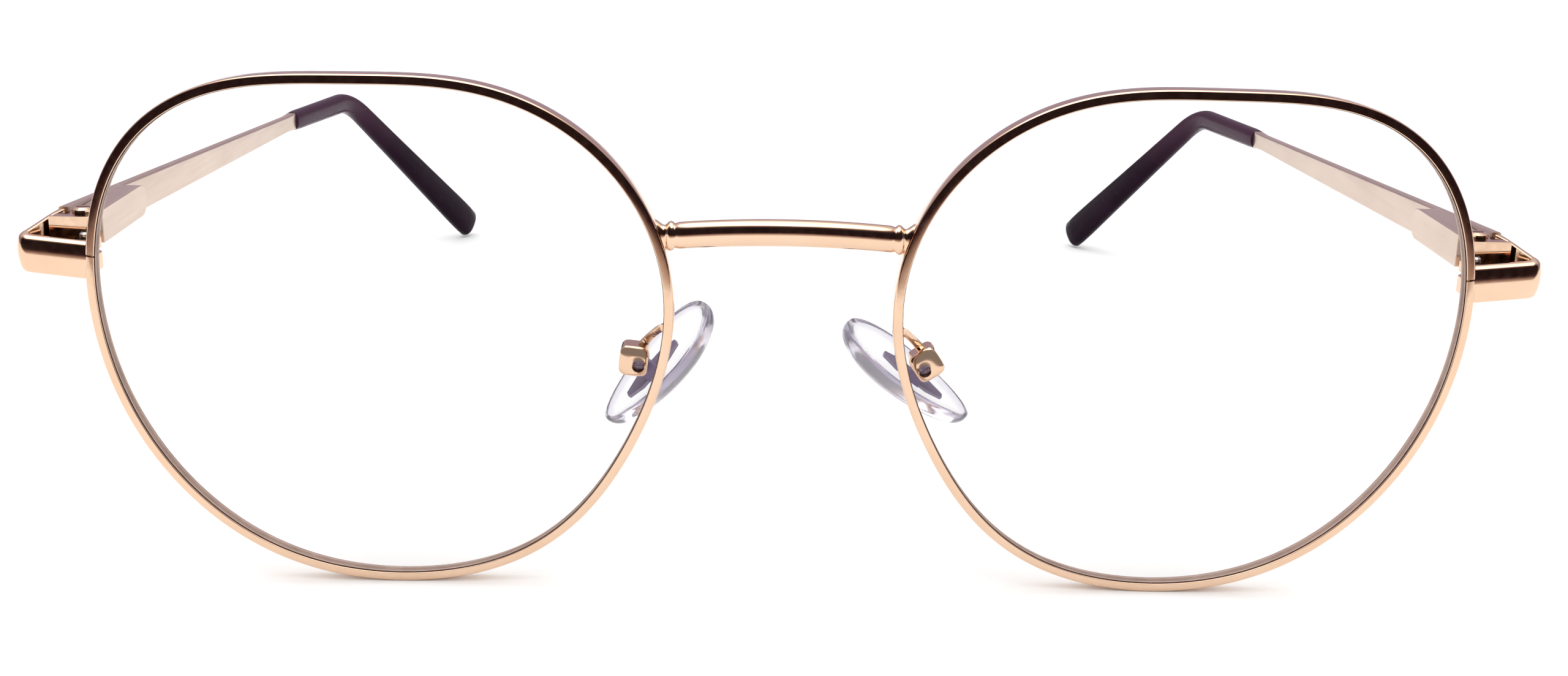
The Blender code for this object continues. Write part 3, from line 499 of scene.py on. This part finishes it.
def sleeve_route():
    start, bend, end = (Vector(p) for p in (BLADE_END, EAR_BEND, TIP_END))
    first = (bend - start).normalized()
    second = (end - bend).normalized()
    turn = first.angle(second)
    tangent = EAR_RADIUS * math.tan(turn / 2)
    axis = first.cross(second).normalized()
    inward = axis.cross(first)
    centre = bend - first * tangent + inward * EAR_RADIUS
    points = [start.lerp(bend - first * tangent, t / 12) for t in range(12)]
    for i in range(25):
        points.append(centre + Matrix.Rotation(turn * i / 24, 3, axis) @ (-inward * EAR_RADIUS))
    points += [(bend + second * tangent).lerp(end, t / 16) for t in range(1, 17)]
    directions = []
    for i in range(len(points)):
        before, after = points[max(i - 1, 0)], points[min(i + 1, len(points) - 1)]
        directions.append((after - before).normalized())
    return points, directions


def make_tip(label, side):
    points, directions = sleeve_route()
    points[0] = points[0] + directions[0] * SLEEVE_GAP
    lengths = [0.0]
    for a, b in zip(points, points[1:]):
        lengths.append(lengths[-1] + (b - a).length)
    marks, widths, heights = zip(*SLEEVE_SECTIONS)
    rings = []
    for scale, shift in MOUTH_RINGS:
        outline = oval(widths[0] * scale, heights[0] * scale, MOUTH_POWER)
        rings.append(section_ring(side, points[0] + directions[0] * shift, directions[0], outline))
    for point, direction, length in zip(points[:-1], directions, lengths):
        share = length / lengths[-1]
        half_u = float(np.interp(share, marks, widths))
        half_v = float(np.interp(share, marks, heights))
        rings.append(section_ring(side, point, direction, oval(half_u, half_v, SLEEVE_POWER)))
    end, direction = points[-1], directions[-1]
    for turn in END_TURNS:
        bulge = math.cos(math.radians(turn))
        place = end + direction * (END_LENGTH * math.sin(math.radians(turn)) - END_BACK)
        outline = oval(widths[-1] * bulge, heights[-1] * bulge, SLEEVE_POWER)
        rings.append(section_ring(side, place, direction, outline))
    sleeve = loft(f"{label}_tip_visual", rings, 60)
    dress(sleeve, "dark_plastic", f"{label}_arm", f"{label}_temple_tip")


def make_spring(label):
    """The coil between the housing's wall, which pulls with the temple, and the slider's stop."""
    low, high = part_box(f"{label}_hinge_spring")
    centre = (low + high) / 2
    front = Vector((centre.x, low.y + SPRING_WIRE * MM, centre.z))
    back = Vector((centre.x, high.y - SPRING_WIRE * MM, centre.z))
    radius = (high.x - low.x) / 2 / MM - SPRING_WIRE
    steps = SPRING_TURNS * SPRING_TURN_STEPS
    rings = []
    for i in range(steps + 1):
        angle = 2 * math.pi * i / SPRING_TURN_STEPS
        outward = Vector((math.cos(angle), 0, math.sin(angle)))
        place = front.lerp(back, i / steps) + outward * radius * MM
        wire = oval(SPRING_WIRE, SPRING_WIRE, steps=SPRING_WIRE_STEPS)
        section = [outward * u + Vector((0, v, 0)) for u, v in wire]
        rings.append([place + offset * MM for offset in section])
    spring = loft(f"{label}_spring_visual", rings)
    spring.data.materials.append(PAINTS["steel"])
    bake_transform(spring)
    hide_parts(f"{label}_hinge_spring")


# ---------------------------------------------------------------- nose pads

def pad_frame(label, side):
    lean, splay = math.radians(PAD_LEAN[label]), math.radians(PAD_SPLAY[label])
    long_way = Vector((side * math.sin(lean), 0, -math.cos(lean)))
    noseward = Vector((-side * math.cos(lean), 0, -math.sin(lean)))
    back = Vector((0, 1, 0))
    skin = noseward * math.cos(splay) + back * math.sin(splay)
    width = back * math.cos(splay) - noseward * math.sin(splay)
    x, _, z = PAD_PIVOT
    centre = Vector((side * x, PAD_CENTRE_Y, z)) + noseward * PAD_REACH
    turn = Matrix((width, long_way, skin)).transposed().to_4x4()
    return Matrix.Translation(world(*centre)) @ turn


def make_nose_pad(label, side):
    place = pad_frame(label, side)
    rings = []
    for scale, height in PAD_LAYERS:
        ring = []
        for i in range(PAD_STEPS):
            angle = 2 * math.pi * i / PAD_STEPS
            u = PAD_HALF_WIDTH * (1 - PAD_TAPER * math.sin(angle)) * math.cos(angle) * scale
            v = PAD_HALF_LENGTH * math.sin(angle) * scale - PAD_SHIFT
            ring.append(place @ (Vector((u, v, height)) * MM))
        rings.append(ring)
    pad = loft(f"{label}_pad_visual", rings, 180)
    # The edge attribute marks where the painted shade goes along the pad's rim
    edge = pad.data.attributes.new("edge", "FLOAT", "POINT")
    shares = []
    for scale, _ in PAD_LAYERS:
        shares += [max(0.0, (scale - 1 + PAD_EDGE_SHADE_SHARE) / PAD_EDGE_SHADE_SHARE)] * PAD_STEPS
    edge.data.foreach_set("value", shares)
    dress(pad, "silicone", f"{label}_pad", f"{label}_nose_pad")


def make_cup_face(label, side):
    """The pillowed face of the pad's box cup, round the sunk screw."""
    x, y, z = CUP_CENTRE[label]
    hole_x, _, hole_z = PAD_PIVOT
    half_u, half_y, half_v = CUP_HALF
    turn = math.radians(CUP_TURN[label]) * side
    front = y - half_y
    sunk = front + CUP_SINK
    hole = oval(CUP_HOLE, CUP_HOLE, steps=CUP_RING_STEPS)
    rings = [cup_ring(side, (hole_x, sunk, hole_z), hole, turn)]
    for i in range(CUP_STEPS + 1):
        angle = math.pi / 2 * i / CUP_STEPS
        share = 1 - math.cos(angle) if i < 2 else math.sin(angle)
        depth = front + CUP_FRONT_PROUD - CUP_PILLOW * math.cos(angle)
        centre = (hole_x + (x - hole_x) * share, depth, hole_z + (z - hole_z) * share)
        u = CUP_HOLE + (half_u + CUP_SIDE_PROUD - CUP_HOLE) * share
        v = CUP_HOLE + (half_v + CUP_SIDE_PROUD - CUP_HOLE) * share
        outline = oval(u, v, 2 + CUP_POWER_GAIN * share, CUP_RING_STEPS)
        rings.append(cup_ring(side, centre, outline, turn))
    back_u, back_v = half_u + CUP_BACK_PROUD, half_v + CUP_BACK_PROUD
    outline = oval(back_u, back_v, CUP_POWER, CUP_RING_STEPS)
    rings.append(cup_ring(side, (x, sunk, z), outline, turn))
    dress(loft(f"{label}_cup_face", rings, 50, True), "gold", "front")


def cup_ring(side, centre, outline, turn):
    x, y, z = centre
    c, s = math.cos(turn), math.sin(turn)
    return [world(side * x + u * c - v * s, y, z + u * s + v * c) for u, v in outline]


# ---------------------------------------------------------------- materials

def fill_ramp(ramp, stops):
    elements = ramp.color_ramp.elements
    while len(elements) < len(stops):
        elements.new(0.5)
    for element, (position, colour) in zip(elements, stops):
        element.position = position
        element.color = (*colour, 1)


class Paint:
    """A Principled material and the few nodes that its patterns need."""

    def __init__(self, name, colour, roughness, metallic=0.0, **sockets):
        self.material = bpy.data.materials.new(name)
        self.material.use_nodes = True
        self.tree = self.material.node_tree
        self.shader = self.tree.nodes["Principled BSDF"]
        self.shader.inputs["Base Color"].default_value = (*colour, 1)
        self.shader.inputs["Roughness"].default_value = roughness
        self.shader.inputs["Metallic"].default_value = metallic
        for socket, value in sockets.items():
            self.shader.inputs[socket.replace("_", " ")].default_value = value

    def node(self, kind, **values):
        made = self.tree.nodes.new(kind)
        for key, value in values.items():
            if key in made.inputs:
                made.inputs[key].default_value = value
            else:
                setattr(made, key, value)
        return made

    def link(self, output, target):
        self.tree.links.new(output, target)

    def noise(self, scale, detail=3.0, stretch=(1, 1, 1)):
        """Noise over the object's own coordinates; stretch squeezes it along each axis."""
        place = self.node("ShaderNodeTexCoord")
        mapping = self.node("ShaderNodeMapping")
        mapping.inputs["Scale"].default_value = stretch
        texture = self.node("ShaderNodeTexNoise", Scale=scale, Detail=detail)
        self.link(place.outputs["Object"], mapping.inputs["Vector"])
        self.link(mapping.outputs["Vector"], texture.inputs["Vector"])
        return texture.outputs["Fac"]

    def ramp(self, factor, stops):
        made = self.node("ShaderNodeValToRGB")
        fill_ramp(made, stops)
        self.link(factor, made.inputs["Fac"])
        return made.outputs["Color"]

    def spread(self, factor, low, high):
        """Maps the middle of a noise to a range of values."""
        made = self.node("ShaderNodeMapRange")
        made.inputs["From Min"].default_value = NOISE_LOW
        made.inputs["From Max"].default_value = NOISE_HIGH
        made.inputs["To Min"].default_value = low
        made.inputs["To Max"].default_value = high
        self.link(factor, made.inputs["Value"])
        return made.outputs["Result"]

    def colour(self, output):
        self.link(output, self.shader.inputs["Base Color"])

    def roughness(self, output):
        self.link(output, self.shader.inputs["Roughness"])

    def mottle(self, scale, detail, low, high):
        """A base colour that clouds between two tones."""
        stops = [(NOISE_LOW, low), (NOISE_HIGH, high)]
        self.colour(self.ramp(self.noise(scale, detail), stops))

    def polish(self, scale, detail, low, high):
        """A roughness that clouds between two values."""
        self.roughness(self.spread(self.noise(scale, detail), low, high))

    def bump(self, height, strength, distance):
        made = self.node("ShaderNodeBump", Strength=strength, Distance=distance)
        self.link(height, made.inputs["Height"])
        self.link(made.outputs["Normal"], self.shader.inputs["Normal"])


def gold_paint():
    """Polished plating: slow waves in tone, fine wear in the polish."""
    paint = Paint("gold_plating", (0.79, 0.555, 0.395), 0.1, 1.0)
    paint.mottle(180, 4, (0.77, 0.53, 0.37), (0.81, 0.58, 0.42))
    paint.polish(1500, 6, 0.06, 0.13)
    paint.bump(paint.noise(2600, 4), 0.03, 0.00002)
    return paint.material


def satin_paint():
    """Brushed champagne plating: streaks along the temple."""
    paint = Paint("satin_plating", (0.67, 0.535, 0.45), 0.34, 1.0)
    streaks = paint.noise(3000, 5, (1.0, 0.03, 1.0))
    paint.mottle(90, 4, (0.64, 0.5, 0.42), (0.7, 0.57, 0.48))
    paint.roughness(paint.spread(streaks, 0.28, 0.38))
    paint.bump(streaks, 0.08, 0.00003)
    return paint.material


def steel_paint():
    paint = Paint("screw_steel", (0.6, 0.58, 0.56), 0.22, 1.0)
    paint.mottle(1200, 4, (0.5, 0.47, 0.45), (0.68, 0.65, 0.62))
    paint.polish(4000, 4, 0.16, 0.3)
    paint.bump(paint.noise(5000, 3), 0.05, 0.00002)
    return paint.material


def tip_paint():
    """Aubergine acetate: nearly black at the low end and cloudy, with painted light that browns it
    towards the ear bend.
    """
    paint = Paint("aubergine_acetate", (0.008, 0.002, 0.006), 0.22, Specular_IOR_Level=0.06)
    paint.shader.inputs["Specular Tint"].default_value = (0.62, 0.42, 0.8, 1)
    place = paint.node("ShaderNodeTexCoord")
    split = paint.node("ShaderNodeSeparateXYZ")
    paint.link(place.outputs["Object"], split.inputs["Vector"])
    # Painted light: the tone lifts with height, towards the ear bend
    painted_light = paint.node("ShaderNodeMapRange")
    painted_light.inputs["From Min"].default_value = TIP_PAINTED_LIGHT_HEIGHTS[0]
    painted_light.inputs["From Max"].default_value = TIP_PAINTED_LIGHT_HEIGHTS[1]
    painted_light.inputs["To Max"].default_value = TIP_PAINTED_LIGHT_RISE
    paint.link(split.outputs["Z"], painted_light.inputs["Value"])
    mixed = paint.node("ShaderNodeMath", operation="MULTIPLY_ADD")
    paint.link(paint.noise(160, 5), mixed.inputs[0])
    mixed.inputs[1].default_value = TIP_TONE_CLOUD
    paint.link(painted_light.outputs["Result"], mixed.inputs[2])
    # The upper stops are the painted light on the part near the ear bend
    stops = [
        (0.1, (0.006, 0.0014, 0.005)),
        (4 / 15, (0.012, 0.003, 0.009)),
        (0.8, (0.045, 0.018, 0.034)),
    ]
    paint.colour(paint.ramp(mixed.outputs["Value"], stops))
    paint.polish(900, 4, 0.16, 0.28)
    paint.bump(paint.noise(700, 3), 0.06, 0.00004)
    return paint.material


def insert_paint():
    paint = Paint("violet_insert", (0.24, 0.18, 0.33), 0.35)
    paint.mottle(700, 4, (0.2, 0.15, 0.28), (0.3, 0.23, 0.4))
    paint.polish(2500, 3, 0.3, 0.45)
    paint.bump(paint.noise(2500, 3), 0.1, 0.00003)
    return paint.material


def silicone_paint():
    """Clear silicone: milky inside, with painted grey-blue shade where light bends at its edge."""
    paint = Paint("clear_silicone", (0.95, 0.95, 0.96), 0.1, IOR=1.41, Transmission_Weight=0.92)
    edge = paint.node("ShaderNodeAttribute", attribute_name="edge").outputs["Fac"]
    mixed = paint.node("ShaderNodeMath", operation="MULTIPLY_ADD")
    paint.link(paint.noise(420, 3), mixed.inputs[0])
    mixed.inputs[1].default_value = PAD_CLOUD
    paint.link(edge, mixed.inputs[2])
    # The last stop is the painted shade of the light bent at the edge
    stops = [(0.1, (0.99, 0.99, 0.99)), (0.6, (0.93, 0.93, 0.95)), (1.0, (0.68, 0.65, 0.76))]
    paint.colour(paint.ramp(mixed.outputs["Value"], stops))
    paint.polish(1100, 4, 0.05, 0.14)
    paint.bump(paint.noise(800, 3), 0.08, 0.00004)
    return paint.material


def lens_paint():
    """Clear lens. Its IOR is far below glass, in place of a coating that stops reflections."""
    paint = Paint("coated_lens", (1, 1, 1), 0.0, IOR=1.06, Transmission_Weight=1.0)
    paint.mottle(25, 2, (0.985, 0.99, 0.99), (0.995, 0.995, 0.99))
    paint.polish(60, 3, 0.0, 0.012)
    return paint.material


def ground_paint():
    """The lens's ground edge, painted with a reflection of the plating around it."""
    paint = Paint("ground_lens_edge", (0.62, 0.46, 0.39), 0.5)
    paint.mottle(500, 4, (0.54, 0.39, 0.33), (0.7, 0.53, 0.45))
    paint.polish(2500, 3, 0.4, 0.6)
    return paint.material


def dark_screw_paint():
    paint = Paint("dark_screw", (0.14, 0.1, 0.13), 0.3, 1.0)
    paint.mottle(2500, 4, (0.09, 0.06, 0.09), (0.24, 0.18, 0.22))
    paint.polish(4000, 3, 0.22, 0.4)
    paint.bump(paint.noise(5000, 3), 0.08, 0.00002)
    return paint.material


def dress(obj, paint, body, *nodes):
    """Material, CAD body, and the CAD nodes that the piece stands for."""
    obj.data.materials.clear()
    obj.data.materials.append(PAINTS[paint])
    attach(obj, body)
    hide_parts(*nodes)


def dress_cad(names, paint, width=0.0, angle=35):
    """Material for CAD nodes that stay shown, with their sharp edges softened by width."""
    for name in names:
        node = frame["nodes"][name]
        node.data.materials.clear()
        node.data.materials.append(PAINTS[paint])
        if width:
            bevel = node.modifiers.new("soft_edges", "BEVEL")
            bevel.width = width * MM
            bevel.segments = 3
            bevel.limit_method = "ANGLE"
            bevel.angle_limit = math.radians(angle)


# ---------------------------------------------------------------- stage

def make_floor():
    bm = bmesh.new()
    corners = (
        (-FLOOR_HALF, FLOOR_NEAR), (FLOOR_HALF, FLOOR_NEAR),
        (FLOOR_HALF, FLOOR_FAR), (-FLOOR_HALF, FLOOR_FAR),
    )
    bm.faces.new([bm.verts.new((x, y, 0)) for x, y in corners])
    floor = new_object("floor", bm)
    floor.location.z = -FLOOR_DROP
    paint = Paint("paper_floor", (0.93, 0.93, 0.93), 0.9)
    paint.mottle(40, 3, (0.95, 0.95, 0.95), (0.965, 0.965, 0.965))
    floor.data.materials.append(paint.material)


def make_world():
    """Even white light all round, but another pattern for mirror rays and part of the bent ones.

    That pattern is dark in front of the glasses and pale behind them. It doesn't light the scene.
    """
    light = bpy.data.worlds.new("studio")
    bpy.context.scene.world = light
    light.use_nodes = True
    tree = light.node_tree
    tree.nodes.clear()
    add, link = tree.nodes.new, tree.links.new
    split = add("ShaderNodeSeparateXYZ")
    link(add("ShaderNodeTexCoord").outputs["Generated"], split.inputs["Vector"])
    height = add("ShaderNodeMapRange")
    height.inputs["From Min"].default_value = -1.0
    link(split.outputs["Z"], height.inputs["Value"])
    ramps = []
    for stops in (FRONT_LIGHT, BACK_LIGHT):
        ramp = add("ShaderNodeValToRGB")
        fill_ramp(ramp, [((sine + 1) / 2, colour) for sine, colour in stops])
        link(height.outputs["Result"], ramp.inputs["Fac"])
        ramps.append(ramp.outputs["Color"])
    turn = add("ShaderNodeMapRange")
    turn.inputs["From Min"].default_value = -TURN_HALF
    turn.inputs["From Max"].default_value = TURN_HALF
    link(split.outputs["Y"], turn.inputs["Value"])
    mix = add("ShaderNodeMix")
    mix.data_type = "RGBA"
    link(turn.outputs["Result"], mix.inputs["Factor"])
    link(ramps[0], mix.inputs[6])
    link(ramps[1], mix.inputs[7])
    mirrored, even = add("ShaderNodeBackground"), add("ShaderNodeBackground")
    link(mix.outputs[2], mirrored.inputs["Color"])
    even.inputs["Color"].default_value = (1, 1, 1, 1)
    even.inputs["Strength"].default_value = EVEN_STRENGTH
    path = add("ShaderNodeLightPath")
    either = add("ShaderNodeMath")
    either.operation = "MAXIMUM"
    link(path.outputs["Is Glossy Ray"], either.inputs[0])
    link(path.outputs["Is Transmission Ray"], either.inputs[1])
    share = add("ShaderNodeMath")
    share.operation = "MULTIPLY_ADD"
    share.use_clamp = True
    link(path.outputs["Is Transmission Ray"], share.inputs[0])
    share.inputs[1].default_value = -BENT_EVEN_SHARE
    link(either.outputs["Value"], share.inputs[2])
    chosen = add("ShaderNodeMixShader")
    link(share.outputs["Value"], chosen.inputs["Fac"])
    link(even.outputs["Background"], chosen.inputs[1])
    link(mirrored.outputs["Background"], chosen.inputs[2])
    link(chosen.outputs["Shader"], add("ShaderNodeOutputWorld").inputs["Surface"])


def make_light():
    lamp = bpy.data.lights.new("softbox", "AREA")
    lamp.shape = "RECTANGLE"
    lamp.size, lamp.size_y = LAMP_SIZE
    lamp.energy = LAMP_WATTS
    box = bpy.data.objects.new("softbox", lamp)
    box.location = LAMP_PLACE
    box.rotation_euler = (-box.location).to_track_quat("-Z", "Y").to_euler()
    bpy.context.scene.collection.objects.link(box)


def make_camera():
    turn, tilt, roll = CAMERA_TURNS
    reach = math.cos(tilt)
    forward = Vector((math.sin(turn) * reach, math.cos(turn) * reach, -math.sin(tilt)))
    level = Vector((math.cos(turn), -math.sin(turn), 0))
    upright = level.cross(forward)
    right = level * math.cos(roll) + upright * math.sin(roll)
    up = upright * math.cos(roll) - level * math.sin(roll)
    data = bpy.data.cameras.new("camera")
    data.sensor_width = CAMERA_SENSOR
    data.lens = CAMERA_LENS
    data.clip_start = 0.01
    camera = bpy.data.objects.new("camera", data)
    axes = Matrix((right, up, -forward)).transposed().to_4x4()
    camera.matrix_world = Matrix.Translation(world(*CAMERA_PLACE)) @ axes
    bpy.context.scene.collection.objects.link(camera)
    bpy.context.scene.camera = camera


PAINTS = {
    "gold": gold_paint(),
    "satin_gold": satin_paint(),
    "steel": steel_paint(),
    "dark_plastic": tip_paint(),
    "insert_plastic": insert_paint(),
    "silicone": silicone_paint(),
    "lens": lens_paint(),
    "ground_edge": ground_paint(),
    "dark_screw": dark_screw_paint(),
}

make_bridge()
for name, sign in SIDES.items():
    make_rim(name, sign)
    make_lens(name, sign)
    make_endpiece(name, sign)
    make_temple(name, sign)
    make_tip(name, sign)
    make_spring(name)
    make_nose_pad(name, sign)
    blocks = (f"{name}_upper_lock_block", f"{name}_lower_lock_block", f"{name}_front_hinge")
    dress_cad(blocks, "gold", 0.07)
    dress_cad([f"{name}_pad_arm"], "gold", 0.08, 50)
    make_cup_face(name, sign)
    dress_cad([f"{name}_spring_housing"], "satin_gold", 0.16)
    dress_cad([f"{name}_hinge_screw"], "gold")
    dress_cad((f"{name}_lock_screw", f"{name}_hinge_slider", f"{name}_spring_stop"), "steel")
    dress_cad([f"{name}_pad_screw"], "dark_screw")
    dress_cad([f"{name}_pad_insert"], "insert_plastic")
make_floor()
make_world()
make_light()
make_camera()
bpy.context.scene.view_settings.view_transform = "Standard"
